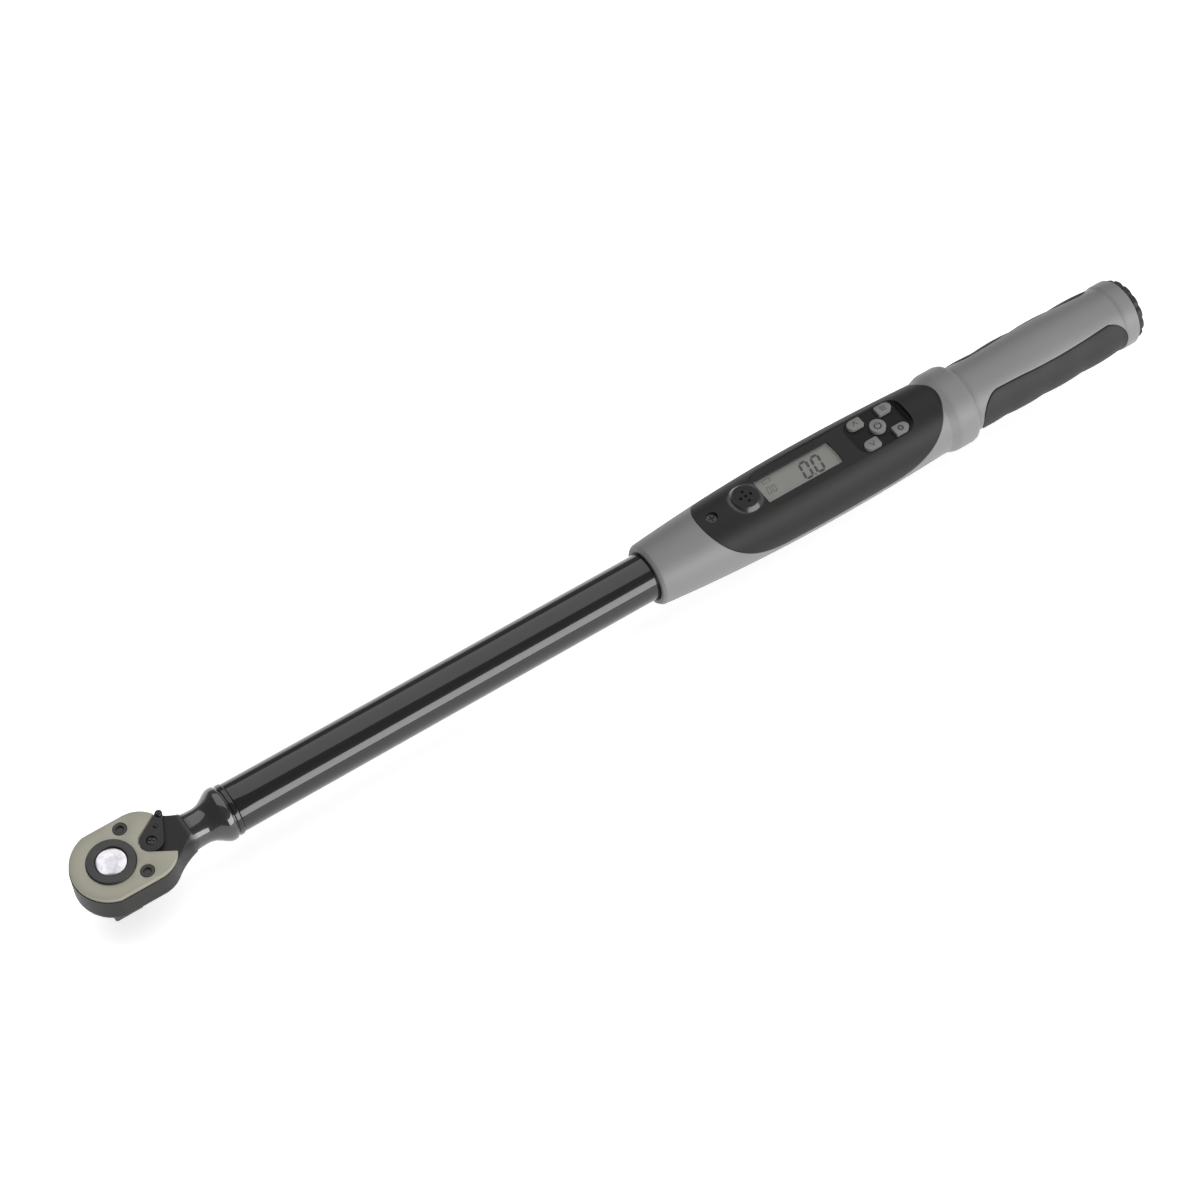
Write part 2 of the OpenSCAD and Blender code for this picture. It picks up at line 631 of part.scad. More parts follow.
module battery_cap() color([0.09, 0.09, 0.09]) difference() {
    cap_x = grip_end_x + 0.3;
    union() {
        lathe([[503, 0], [503, 9.6], [503.5, 9.95], [510.3, 9.95], [510.3, 8.9], [512, 8.9],
            [512, 9.95], [cap_x, 9.95], [cap_x, cap_r - 0.5], [cap_x + 0.5, cap_r],
            [cap_x + 2.6, cap_r], [cap_x + 3.5, cap_r - 1.2], [cap_x + 3.8, cap_r - 4],
            [cap_x + 3.8, 0]]);
    }
    rod_x(502, 512.8, 8.2);
    for (i = [0 : cap_flutes - 1]) at_axis() rotate([i * 360 / cap_flutes, 0, 0])
        translate([cap_x - 1, 0, cap_r + 0.9]) rotate([0, 90, 0]) cylinder(h = 6, r = 1.7);
}

module cap_seal() color([0.05, 0.05, 0.05]) at_axis() translate([511.15, 0, 0])
    rotate([0, 90, 0]) rotate_extrude() translate([9.35, 0]) circle(r = 0.4, $fn = 24);

module cap_spring() color([0.80, 0.72, 0.45]) at_axis()
    translate([cell_x + 2 * cell_l + 0.4, 0, 0]) rotate([0, 90, 0])
        coil(5, 0.4, 512.6 - cell_x - 2 * cell_l - 0.4, 3);

head_body();
face_plate();
plate_screws();
ratchet_anvil();
thrust_washer();
release_button();
release_pin();
release_spring();
locking_ball();
reversing_lever();
lever_screw();
lever_spindle();
pawl_plunger();
pawl_spring();
pawl();
pawl_pin();
torque_beam();
beam_pins();
strain_gauges();
gauge_wiring();
tube();
tube_ring();
lower_housing();
housing_screws();
top_cover();
cover_screw();
display_lens();
lcd_module();
circuit_board();
battery_wiring();
buzzer();
keypad_mat();
centre_key();
upper_front_key();
lower_front_key();
upper_rear_key();
lower_rear_key();
grip_body();
left_grip_insert();
right_grip_insert();
battery_sleeve();
batteries();
front_contact();
thread_bush();
battery_cap();
cap_seal();
cap_spring();
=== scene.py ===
import math
import bmesh
import bpy
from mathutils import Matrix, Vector


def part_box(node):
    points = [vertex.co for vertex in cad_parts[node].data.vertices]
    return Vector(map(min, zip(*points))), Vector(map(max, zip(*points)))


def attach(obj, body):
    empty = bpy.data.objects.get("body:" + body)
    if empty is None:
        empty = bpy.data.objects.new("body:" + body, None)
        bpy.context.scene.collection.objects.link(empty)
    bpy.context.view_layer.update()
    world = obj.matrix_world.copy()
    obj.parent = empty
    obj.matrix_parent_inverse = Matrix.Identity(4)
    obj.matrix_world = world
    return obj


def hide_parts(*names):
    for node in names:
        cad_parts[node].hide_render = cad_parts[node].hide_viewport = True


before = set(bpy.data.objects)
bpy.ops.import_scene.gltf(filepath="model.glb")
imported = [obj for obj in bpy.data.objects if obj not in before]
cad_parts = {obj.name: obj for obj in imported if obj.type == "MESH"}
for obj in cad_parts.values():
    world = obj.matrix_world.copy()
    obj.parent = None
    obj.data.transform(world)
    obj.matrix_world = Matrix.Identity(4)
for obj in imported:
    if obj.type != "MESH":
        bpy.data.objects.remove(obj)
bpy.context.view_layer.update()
MM = 0.001
tube_low, tube_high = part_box("tube")
axis = (tube_low.z + tube_high.z) / 2 / MM      # height of the wrench's centre line


# ---- Head forging ----
# One steel forging carries the ratchet, the neck and the flange that closes the tube.
# It is drop forged, machined flat on top for the face plate, then blackened and oiled.

class Wire:
    """A socket of a shader, so that sums on it are written as plain expressions."""

    def __init__(self, finish, socket):
        self.finish, self.socket = finish, socket

    def sum(self, operation, a, b):
        return self.finish.node("ShaderNodeMath", {"operation": operation}, {0: a, 1: b})

    def __add__(self, other):
        return self.sum("ADD", self, other)

    def __sub__(self, other):
        return self.sum("SUBTRACT", self, other)

    def __rsub__(self, other):
        return self.sum("SUBTRACT", other, self)

    def __mul__(self, other):
        return self.sum("MULTIPLY", self, other)

    __radd__ = __add__
    __rmul__ = __mul__


class Finish:
    """A material built up round one Principled shader."""

    def __init__(self, name, **sockets):
        self.material = bpy.data.materials.new(name)
        self.material.use_nodes = True
        self.tree = self.material.node_tree
        self.shader = self.tree.nodes["Principled BSDF"]
        self.place = self.node("ShaderNodeTexCoord", {}, {}, "Object")
        self.set(**sockets)

    def feed(self, socket, value):
        if isinstance(value, Wire):
            self.tree.links.new(value.socket, socket)
        else:
            socket.default_value = value

    def set(self, **sockets):
        for name, value in sockets.items():
            self.feed(self.shader.inputs[name.replace("_", " ")], value)

    def node(self, kind, settings, sockets, output=0):
        made = self.tree.nodes.new(kind)
        for key, value in settings.items():
            if key == "stops":
                ramp = made.color_ramp.elements
                for element, (place, grey) in zip((ramp[0], ramp[1]), value):
                    element.position, element.color = place, (grey, grey, grey, 1)
            else:
                setattr(made, key, value)
        for key, value in sockets.items():
            self.feed(made.inputs[key], value)
        return Wire(self, made.outputs[output])

    def noise(self, size, detail=3, stretch=(1, 1, 1)):
        """Cloudy noise whose spots are about size millimetres across."""
        place = self.place
        if stretch != (1, 1, 1):
            place = self.node("ShaderNodeVectorMath", {"operation": "MULTIPLY"},
                              {0: self.place, 1: stretch})
        return self.node("ShaderNodeTexNoise", {},
                         {"Vector": place, "Scale": 1 / (size * MM), "Detail": detail})

    def ramp(self, value, low, high):
        """0 where value is below low, 1 above high."""
        return self.node("ShaderNodeValToRGB", {"stops": ((low, 0), (high, 1))}, {0: value})

    def mix(self, factor, a, b):
        return self.node("ShaderNodeMix", {"data_type": "RGBA"}, {0: factor, 6: a, 7: b}, 2)

    def bump(self, height, depth):
        """Depth in millimetres from the lowest to the highest of height."""
        self.set(Normal=self.node("ShaderNodeBump", {}, {"Strength": 1, "Distance": depth * MM,
                                                         "Height": height}))


def shade(grey, warm=0.0):
    """A linear grey with a little warmth: more red and less blue."""
    return (grey * (1 + warm), grey, grey * (1 - warm), 1)


def coarse(name, light, dark, roughness, grain, depth, **sockets):
    """A finish with slow clouds between two colours and a fine grain."""
    finish = Finish(name, **sockets)
    cloud = finish.noise(9, 4)
    speck = finish.noise(grain, 2)
    finish.set(Base_Color=finish.mix(finish.ramp(cloud, 0.3, 0.7), dark, light),
               Roughness=roughness + (speck - 0.5) * 0.16 + (cloud - 0.5) * 0.12)
    finish.bump(speck, depth)
    return finish


def deliver(name, shell):
    """Turns a finished bmesh into an object of the scene."""
    mesh = bpy.data.meshes.new(name)
    shell.to_mesh(mesh)
    shell.free()
    piece = bpy.data.objects.new(name, mesh)
    bpy.context.scene.collection.objects.link(piece)
    return piece


def make(name, points, faces):
    """A mesh from points in millimetres, with doubled points welded."""
    shell = bmesh.new()
    corners = [shell.verts.new([c * MM for c in p]) for p in points]
    for face in faces:
        shell.faces.new([corners[i] for i in face])
    bmesh.ops.remove_doubles(shell, verts=shell.verts, dist=0.002 * MM)
    bmesh.ops.recalc_face_normals(shell, faces=shell.faces)
    return deliver(name, shell)


def grid(rows):
    """Quads between rows of equal length."""
    wide = len(rows[0])
    faces = [(i * wide + j, i * wide + j + 1, (i + 1) * wide + j + 1, (i + 1) * wide + j)
             for i in range(len(rows) - 1) for j in range(wide - 1)]
    return [p for row in rows for p in row], faces


def settle(piece):
    """Applies the piece's modifiers."""
    graph = bpy.context.evaluated_depsgraph_get()
    mesh = bpy.data.meshes.new_from_object(piece.evaluated_get(graph))
    piece.modifiers.clear()
    piece.data = mesh


def combine(piece, operation, *tools, solver="EXACT"):
    for tool in tools:
        step = piece.modifiers.new("combine", "BOOLEAN")
        step.operation, step.solver, step.object = operation, solver, tool
    settle(piece)
    for tool in tools:
        bpy.data.objects.remove(tool)


def fasten(piece, body, slot, finish, *nodes):
    """Smooths the piece up to its creases, paints it and fixes it to its body."""
    crease = 32
    for face in piece.data.polygons:
        face.use_smooth = True
    piece.data.set_sharp_from_angle(angle=math.radians(crease))
    piece.data.materials.clear()
    piece.data.materials.append(finish.material)
    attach(piece, body)
    if nodes:
        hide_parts(*nodes)


def curve_through(points, steps):
    """A smooth line through [x, y] points, with steps between each pair."""
    line = []
    for i in range(len(points) - 1):
        a, b = points[max(i - 1, 0)], points[i]
        c, d = points[i + 1], points[min(i + 2, len(points) - 1)]
        for k in range(steps):
            t = k / steps
            line.append([0.5 * (2 * b[n] + (c[n] - a[n]) * t
                                + (2 * a[n] - 5 * b[n] + 4 * c[n] - d[n]) * t * t
                                + (3 * b[n] - a[n] - 3 * c[n] + d[n]) * t ** 3)
                         for n in (0, 1)])
    return line + [list(points[-1])]


def post(x, y, low, high, radius, around=64):
    """A plain round cutting tool, upright at x, y."""
    rings = [[(x + radius * math.cos(math.tau * k / around),
               y + radius * math.sin(math.tau * k / around), z) for k in range(around)]
             for z in (low, high)]
    faces = [tuple(range(around)), tuple(range(2 * around - 1, around - 1, -1))]
    faces += [(k, (k + 1) % around, around + (k + 1) % around, around + k)
              for k in range(around)]
    return make("tool", rings[0] + rings[1], faces)


def bar(x0, x1, y0, y1, z0, z1):
    corners = [(x, y, z) for x in (x0, x1) for y in (y0, y1) for z in (z0, z1)]
    return make("tool", corners, [(0, 1, 3, 2), (4, 5, 7, 6), (0, 1, 5, 4), (2, 3, 7, 6),
                                  (0, 2, 6, 4), (1, 3, 7, 5)])


def joined_min(values, sharp=18):
    """The least of the values, with the corners between them rounded off."""
    return sum(v ** -sharp for v in values) ** (-1 / sharp)


head_lip = 17.0                 # radius of the front
head_flank = 16.45              # half width
top_flat, bottom_flat = 7.0, 7.4
rolled = 3.4                    # radius of the lower edge
step_x = 33.0                   # where the machined flat ends at the neck
step_lean = 0.12                # how far the step there leans back
floor_z = axis - 4              # floor of the ratchet's chamber
chamber, journal_bore = 12.5, 9.65
pivot, pivot_bore = 17.9, 4.7   # the lever's pivot
cheek_x, cheek_y, cheek = 13.4, 3.6, 12.85      # centre and radius of the round behind a flank
hollow_x, hollow_y, hollow = 36, 29.2, 21.3     # and of the hollow between it and the neck
neck = curve_through([[33, 8.02], [36, 7.85], [39, 7.85], [41.3, 8.35], [43.3, 9.45],
                      [45.2, 10.75], [46.8, 11.6], [48.2, 11.85], [49.3, 11.8], [49.9, 11.55],
                      [50.2, 11.1]], 7)


def head_width(x):
    """Half the head's width at x."""
    if x < cheek_x:
        return head_flank
    if x < 22:
        return cheek_y + math.sqrt(cheek ** 2 - (x - cheek_x) ** 2)
    return hollow_y - math.sqrt(hollow ** 2 - (hollow_x - x) ** 2)


def head_reach(angle, wide, deep, shoulder):
    """Distance from the centre line to the skin of a rounded bar, below the flat top."""
    across, up = math.cos(angle), math.sin(angle)
    side = wide / max(across, 1e-6)
    if up >= 0:
        return joined_min([side, shoulder])
    box = min(side, deep / -up)
    if box * across > wide - rolled and -box * up > deep - rolled:
        middle = Vector((wide - rolled, rolled - deep))
        along = middle.dot(Vector((across, up)))
        box = along + math.sqrt(max(along ** 2 - middle.length_squared + rolled ** 2, 0))
    return joined_min([box, shoulder])


def rib(wide, deep, shoulder, flat=True, radius=None):
    """Half section of the forging, from the middle of its top round to its bottom."""
    def reach(a):
        return radius if radius else head_reach(a, wide, deep, shoulder)
    low, high = 0.05, math.pi / 2
    for _ in range(40):
        middle = (low + high) / 2
        low, high = (low, middle) if reach(middle) * math.sin(middle) > top_flat \
            else (middle, high)
    corner = low
    points = []
    for k in range(9):
        if flat:
            points.append((reach(corner) * math.cos(corner) * k / 8, top_flat))
        else:
            a = math.pi / 2 + (corner - math.pi / 2) * k / 8
            points.append((reach(a) * math.cos(a), reach(a) * math.sin(a)))
    for k in range(1, 57):
        a = corner + (-math.pi / 2 - corner) * k / 56
        points.append((reach(a) * math.cos(a), reach(a) * math.sin(a)))
    return points


rows = []
for k in range(49):                                # round the front
    turn = math.pi - math.pi / 2 * k / 48
    wide = min(head_lip, head_flank / max(math.sin(turn), 1e-6))
    rows.append([(d * math.cos(turn), d * math.sin(turn), axis + z)
                 for d, z in rib(wide, bottom_flat, 99)])
for k in range(1, 67):                             # flanks and shoulders
    x = step_x * k / 66
    swell = max(0.0, (x - 29) / 4)
    rows.append([(x, y, axis + z) for y, z in
                 rib(head_width(x), bottom_flat + 0.55 * swell ** 2, 8.1 + 0.033 * (37 - x) ** 2)])
for x, radius in neck:                             # neck, bell and flange
    rows.append([(x + step_lean, y, axis + z) for y, z in rib(0, 0, 0, False, radius)])
rows.append([(neck[-1][0], 0, axis)] * len(rows[-1]))
points, faces = grid(rows)
head = make("head_forging", points + [(x, -y, z) for x, y, z in points],
            faces + [tuple(len(points) + i for i in face) for face in faces])
over_head, under_head = axis + 9, axis - 9
combine(head, "DIFFERENCE", post(0, 0, floor_z, over_head, chamber, 96),
        post(0, 0, under_head, floor_z + 1, journal_bore, 96),
        bar(4, 16.2, -8, 8, floor_z, over_head), post(pivot, 0, floor_z, over_head, pivot_bore))

forged = Finish("forged_black_steel", Specular_IOR_Level=0.2, Coat_IOR=1.65,
                Coat_Roughness=0.05)
scale = forged.noise(0.5, 4)
patches = forged.noise(7, 4)
polish = forged.ramp(forged.node("ShaderNodeSeparateXYZ", {}, {0: forged.place}, 0),
                     0.0325, 0.0345)              # the neck is polished, the head is not
forged.set(Base_Color=forged.mix(patches, shade(0.009), shade(0.016, 0.08)),
           Roughness=0.42 + (scale - 0.5) * 0.2 + (patches - 0.5) * 0.1 - polish * 0.12,
           Coat_Weight=polish * 0.9)
forged.bump(scale * (1 - polish), 0.02)
fasten(head, "handle", "forged_black", forged, "head_body")


# ---- Face plate and its screws ----
# A blanked steel plate, zinc plated and tumbled to a dull grey, closes the ratchet.
# Two countersunk socket screws hold it down on the forging.

def arc(x, y, radius, start, end, steps):
    """Points round a circle, from one angle in degrees to another."""
    return [(x + radius * math.cos(math.radians(start + (end - start) * k / steps)),
             y + radius * math.sin(math.radians(start + (end - start) * k / steps)))
            for k in range(steps + 1)]


def ring(x, y, radius, steps):
    return arc(x, y, radius, 0, 360, steps)[:-1]


def ease(piece, width, steps=2, above=None):
    """Rounds off the piece's edges, or only those higher than above millimetres."""
    sharp = math.radians(40)
    shell = bmesh.new()
    shell.from_mesh(piece.data)
    edges = [e for e in shell.edges
             if len(e.link_faces) == 2 and e.calc_face_angle(0) > sharp
             and (above is None or min(v.co.z for v in e.verts) > above * MM)]
    bmesh.ops.bevel(shell, geom=edges, offset=width * MM, segments=steps, profile=0.5,
                    affect="EDGES", clamp_overlap=True)
    shell.to_mesh(piece.data)
    shell.free()


def slab(name, outline, low, high, holes=(), round_off=0, above=None):
    """A flat piece with an outline seen from above, holes through it and eased edges."""
    shell = bmesh.new()
    rims = []
    for loop in (outline, *holes):
        corners = [shell.verts.new((x * MM, y * MM, low * MM)) for x, y in loop]
        rims += [shell.edges.new((a, b)) for a, b in zip(corners, corners[1:] + corners[:1])]
    bmesh.ops.triangle_fill(shell, use_beauty=True, use_dissolve=False, edges=rims)
    lifted = bmesh.ops.extrude_face_region(shell, geom=shell.faces[:])["geom"]
    bmesh.ops.translate(shell, vec=(0, 0, (high - low) * MM),
                        verts=[g for g in lifted if isinstance(g, bmesh.types.BMVert)])
    bmesh.ops.recalc_face_normals(shell, faces=shell.faces)
    piece = deliver(name, shell)
    if round_off:
        ease(piece, round_off, above=above)
    return piece


def rounded(points, closed=False, steps=4):
    """Rounds each corner of a line that has a third value: its radius."""
    line, count = [], len(points)
    for i, point in enumerate(points):
        if len(point) < 3 or (not closed and i in (0, count - 1)):
            line.append(tuple(point[:2]))
            continue
        here = Vector(point[:2])
        back = Vector(points[i - 1][:2]) - here
        on = Vector(points[(i + 1) % count][:2]) - here
        half = back.angle(on) / 2
        reach = min(point[2] / math.tan(half), back.length * 0.49, on.length * 0.49)
        start, end = here + back.normalized() * reach, here + on.normalized() * reach
        middle = here + (back.normalized() + on.normalized()).normalized() \
            * reach / math.cos(half)
        size = (start - middle).length
        first = math.atan2(start.y - middle.y, start.x - middle.x)
        swing = math.remainder(math.atan2(end.y - middle.y, end.x - middle.x) - first, math.tau)
        line += [(middle.x + size * math.cos(first + swing * k / steps),
                  middle.y + size * math.sin(first + swing * k / steps))
                 for k in range(steps + 1)]
    return line


def turned(name, profile, x=None, y=0, around=96):
    """A closed solid of revolution from [place, radius] points: along the wrench's centre
    line, or about an upright line at x, y."""
    rows = []
    for place, radius in profile:
        row = []
        for k in range(around + 1):
            a = math.tau * k / around
            row.append((place, radius * math.cos(a), axis + radius * math.sin(a))
                       if x is None else
                       (x + radius * math.cos(a), y + radius * math.sin(a), place))
        rows.append(row)
    return make(name, *grid(rows))


plate_low, plate_high = (corner.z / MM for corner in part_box("face_plate"))
plate_lip, plate_flank = 16.65, 16.1       # radius of its front and its half width
plate_cheek, collar_hole, screw_hole = 12.5, 10.12, 2.95
notch, notch_angle = 5.3, 31.5  # the notch round the lever's hub, and its half angle
flat_x = math.sqrt(plate_lip ** 2 - plate_flank ** 2)
half = arc(0, 0, plate_lip, 180, 180 - math.degrees(math.acos(flat_x / plate_lip)), 40)
half += [(4, plate_flank)] + arc(cheek_x, cheek_y, plate_cheek, 90, 30.96, 20)
half += arc(pivot, 0, notch, 90 + notch_angle, 180, 16)[:-1]
outline = half + [(pivot - notch, 0)] + [(x, -y) for x, y in reversed(half[1:])]
screws = [(9.9, 11.3), (9.9, -11.3)]
plate = slab("plate_blank", outline, plate_low, plate_high,
             [ring(0, 0, collar_hole, 96)] + [ring(x, y, screw_hole, 48) for x, y in screws],
             0.22, above=plate_low + 0.5)

plated = Finish("dull_zinc_plate", Metallic=0.55, Specular_IOR_Level=0.4)
speck = plated.noise(0.22, 2)
cloud = plated.noise(6, 4)
brushed = plated.noise(0.35, 3, (0.15, 1, 1))
plated.set(Base_Color=plated.mix(cloud, (0.25, 0.243, 0.198, 1), (0.295, 0.287, 0.236, 1)),
           Roughness=0.46 + (cloud - 0.5) * 0.15 + (brushed - 0.5) * 0.12)
plated.bump(speck + brushed * 0.5, 0.006)
fasten(plate, "handle", "plate_metal", plated, "face_plate")

black_oxide = coarse("black_oxide", shade(0.022, 0.1), shade(0.010), 0.34, 0.3, 0.004,
                     Metallic=0.2, Specular_IOR_Level=0.5)
shank, screw_head = 1.3, 2.85
top = plate_high - 0.15
for number, (x, y) in enumerate(screws):
    screw = turned(f"plate_screw_{number}", rounded([
        (top - 4, 0), (top - 4, shank), (top - 1.5, shank), (top - 1.45, screw_head, 0.1),
        (top, screw_head, 0.35), (top, 1.75, 0.2), (top - 0.2, 1.5), (top - 1.1, 1.42),
        (top - 1.3, 0)]), x, y, 48)
    fasten(screw, "handle", "black_screw", black_oxide, *(["plate_screws"] * (number == 0)))


# ---- Drive and quick-release button ----
# The anvil is one turned and milled steel part: square drive, journal, gear and the dark
# collar round the button. The domed button is chrome plated and drops the ball's pin.

collar_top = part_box("ratchet_anvil")[1].z / MM
button_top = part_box("release_button")[1].z / MM
square = 12.7
shoulder = 15.3                 # where the square drive ends and the journal begins
journal_radius, gear_radius, collar_radius = 9.6, 12, 10.04
pin_bore, spring_bore, button_radius = 2.6, 4.4, 6.3
gear_low, gear_high = plate_low - 3, plate_low - 0.4
pocket = collar_top - 5.2       # floor of the button's pocket
journal = turned("drive_anvil", rounded([
    (shoulder, pin_bore), (shoulder, journal_radius - 0.3), (shoulder + 0.3, journal_radius),
    (gear_low, journal_radius), (gear_low, gear_radius), (gear_high, gear_radius),
    (gear_high, collar_radius), (collar_top, collar_radius, 0.45), (collar_top, 6.55, 0.35),
    (pocket, 6.4), (pocket, spring_bore), (floor_z, spring_bore), (floor_z, pin_bore),
    (shoulder, pin_bore)]), 0, 0, 96)
tang = slab("tang", rounded([(s * square / 2, t * square / 2, 1.1)
                             for s, t in ((1, 1), (-1, 1), (-1, -1), (1, -1))], True),
            0, shoulder + 0.1)
ease(tang, 0.7, 3)
ball_height, ball_bore = 7.9, 2.4
ball_hole = post(0, 0, 0, 9, ball_bore, 48)
ball_hole.rotation_euler.x = math.pi / 2
ball_hole.location.z = ball_height * MM
combine(tang, "DIFFERENCE", ball_hole, post(0, 0, 2.95, 16, pin_bore, 48))
combine(journal, "UNION", tang)
drive_black = coarse("drive_black_oxide", shade(0.028, 0.03), shade(0.014), 0.36, 0.5, 0.003,
                     Metallic=0.2, Specular_IOR_Level=0.5)
fasten(journal, "drive", "drive_steel", drive_black, "ratchet_anvil")

arch = 18                       # degrees from the dome's middle to its edge
dome = button_radius / math.sin(math.radians(arch))
rise = dome * (1 - math.cos(math.radians(arch)))
button = turned("release_dome", rounded([
    (collar_top - 2.5, 0), (collar_top - 2.5, button_radius),
    (button_top - rise, button_radius, 0.4)]
    + [(button_top - dome * (1 - math.cos(math.radians(a))), dome * math.sin(math.radians(a)))
       for a in range(arch - 1, -1, -1)]), 0, 0, 96)
chrome = Finish("chrome_plate", Metallic=1.0)
wipe = chrome.noise(3, 2)
chrome.set(Base_Color=chrome.mix(chrome.ramp(wipe, 0.35, 0.65), (0.38, 0.37, 0.40, 1),
                                 (0.56, 0.55, 0.58, 1)),
           Roughness=0.12 + (wipe - 0.5) * 0.1)
fasten(button, "release", "chrome", chrome, "release_button")


# ---- Reversing lever ----
# A zinc die casting, painted satin black, that turns the pawl over. A cross-slot screw
# holds it on its spindle and its raised tip takes the thumb.

lever_low, lever_tip = (corner.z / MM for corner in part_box("reversing_lever"))
lever_turn = math.radians(48)
hub, tip, length = 4.9, 1.5, 12.3          # its two end radii and the way between them


def on_lever(along, across):
    """A point of the lever, from its pivot, as it lies at rest."""
    return (pivot + along * math.cos(lever_turn) - across * math.sin(lever_turn),
            along * math.sin(lever_turn) + across * math.cos(lever_turn))


side = math.degrees(math.acos((hub - tip) / length))
teardrop = arc(0, 0, hub, side, 360 - side, 40) + arc(length, 0, tip, -side, side, 12)
lever_top = lever_tip - 0.95
lever = slab("lever_arm", [on_lever(*p) for p in teardrop], lever_low, lever_top,
             round_off=0.4, above=lever_low + 0.5)
combine(lever, "DIFFERENCE", post(pivot, 0, lever_top - 1.1, lever_top + 1, 2.2, 48))
thumb = turned("thumb", rounded([
    (lever_low + 0.1, 0), (lever_low + 0.1, 1.4), (lever_tip - 0.5, 1.5), (lever_tip, 1.2, 0.6),
    (lever_tip, 0)]), *on_lever(length, 0), 32)
dot = turned("dot", rounded([(lever_low + 0.5, 0), (lever_low + 0.5, 1.0), (lever_top + 0.1, 1.0),
                             (lever_top + 0.7, 0.8, 0.4), (lever_top + 0.7, 0)]),
             *on_lever(6.7, 0), 24)
combine(lever, "UNION", thumb, dot)
paint = coarse("lever_paint", shade(0.008, 0.05), shade(0.004), 0.27, 0.4, 0.012,
               Specular_IOR_Level=0.3)
fasten(lever, "lever", "lever_black", paint, "reversing_lever")

screw_top = lever_top - 0.15
lever_pin = turned("lever_cross_screw", rounded([
    (screw_top - 1.9, 0), (screw_top - 1.9, 1.05), (screw_top - 0.95, 1.05),
    (screw_top - 0.9, 2.1), (screw_top - 0.3, 2.1, 0.4), (screw_top, 1.3, 0.8),
    (screw_top, 0)]), pivot, 0, 40)
slots = [slab("tool", [on_lever(a, b) for a, b in ((-u, -v), (u, -v), (u, v), (-u, v))],
              screw_top - 0.6, screw_top + 0.3) for u, v in ((1.4, 0.3), (0.3, 1.4))]
combine(lever_pin, "DIFFERENCE", *slots)
fasten(lever_pin, "lever", "black_screw", black_oxide, "lever_screw")


# ---- Tube and its ring ----
# Drawn steel tube, stove enamelled gloss black. A rolled steel ring seats between the
# tube and the forging's flange. The torque beam lies inside.

enamel = Finish("gloss_black_enamel", Specular_IOR_Level=0.12, Coat_Weight=0.8,
                Coat_Roughness=0.03, Coat_IOR=1.5)
orange_peel = enamel.noise(1.6, 2)
streak = enamel.noise(1.2, 4, (0.06, 1, 1))
enamel.set(Base_Color=enamel.mix(streak, shade(0.005), shade(0.009)),
           Roughness=0.22 + (streak - 0.5) * 0.12 + (orange_peel - 0.5) * 0.05)
enamel.bump(orange_peel, 0.003)
tube_bore, tube_radius, ring_radius = 8.9, 10.8, 11.35
ring_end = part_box("tube_ring")[1].x / MM
ring_start = ring_end - 2.9
collar = turned("tube_collar", rounded([
    (ring_start, tube_bore), (ring_start, 10.9), (ring_end - 2.3, 10.9, 0.15),
    (ring_end - 2.0, ring_radius, 0.3), (ring_end - 0.3, ring_radius, 0.4), (ring_end, 10.9),
    (ring_end, tube_bore), (ring_start, tube_bore)]), around=128)
fasten(collar, "handle", "tube_black", enamel, "tube_ring")
tube_start, tube_end = tube_low.x / MM, tube_high.x / MM
pipe = turned("tube_pipe", rounded(
    [(tube_start + 60, tube_bore), (tube_start, tube_bore), (tube_start, tube_radius, 0.25)]
    + [(x, tube_radius) for x in range(60, 500, 10)]
    + [(tube_end, tube_radius, 0.2), (tube_end, tube_bore), (tube_start + 60, tube_bore)]),
    around=128)
fasten(pipe, "handle", "tube_black", enamel, "tube")


# ---- Housing ----
# Glass-filled nylon moulding, light grey, with a fine spark-eroded skin. It slides over
# the tube from the rear and two screws under it hold it on.

waist = rounded([(403, 17.24), (406, 17.2, 3), (410.2, 18.55, 1.2), (411.6, 18.7, 1),
                 (418.8, 18.7, 1.4), (420.6, 18.2, 0.8), (421, 17.4)], steps=6)
belly_x, belly = 346, 18.6      # where the body is thickest


def barrel(x):
    """Radius of the housing's body at x."""
    if x <= waist[0][0]:
        return belly - (5.46e-4 if x < belly_x else 4.2e-4) * (x - belly_x) ** 2
    for (x0, r0), (x1, r1) in zip(waist, waist[1:]):
        if x <= x1:
            return r0 + (r1 - r0) * (x - x0) / (x1 - x0)
    return waist[-1][1]


def seam(x):
    """Angle in degrees at which the cover's seam lies at x: 90 is the top."""
    front_bend, rear_bend, lowest = 317.5, 374.3, -3.5
    height = lowest + 0.01533 * max(front_bend - x, 0) ** 2 + 0.01887 * max(x - rear_bend, 0) ** 2
    return math.degrees(math.asin(min(height / barrel(x), 1)))


def tip_of(inside, outside):
    """Where the seam meets itself on top."""
    for _ in range(40):
        middle = (inside + outside) / 2
        inside, outside = (inside, middle) if seam(middle) > 89.99 else (middle, outside)
    return inside


cover_front, cover_rear = tip_of(300, 270), tip_of(390, 411)


def swept(first, last, steps):
    """Places along the wrench, closer together towards both ends."""
    return [(first + last) / 2 - (last - first) / 2 * math.cos(math.pi * k / steps)
            for k in range(steps + 1)]


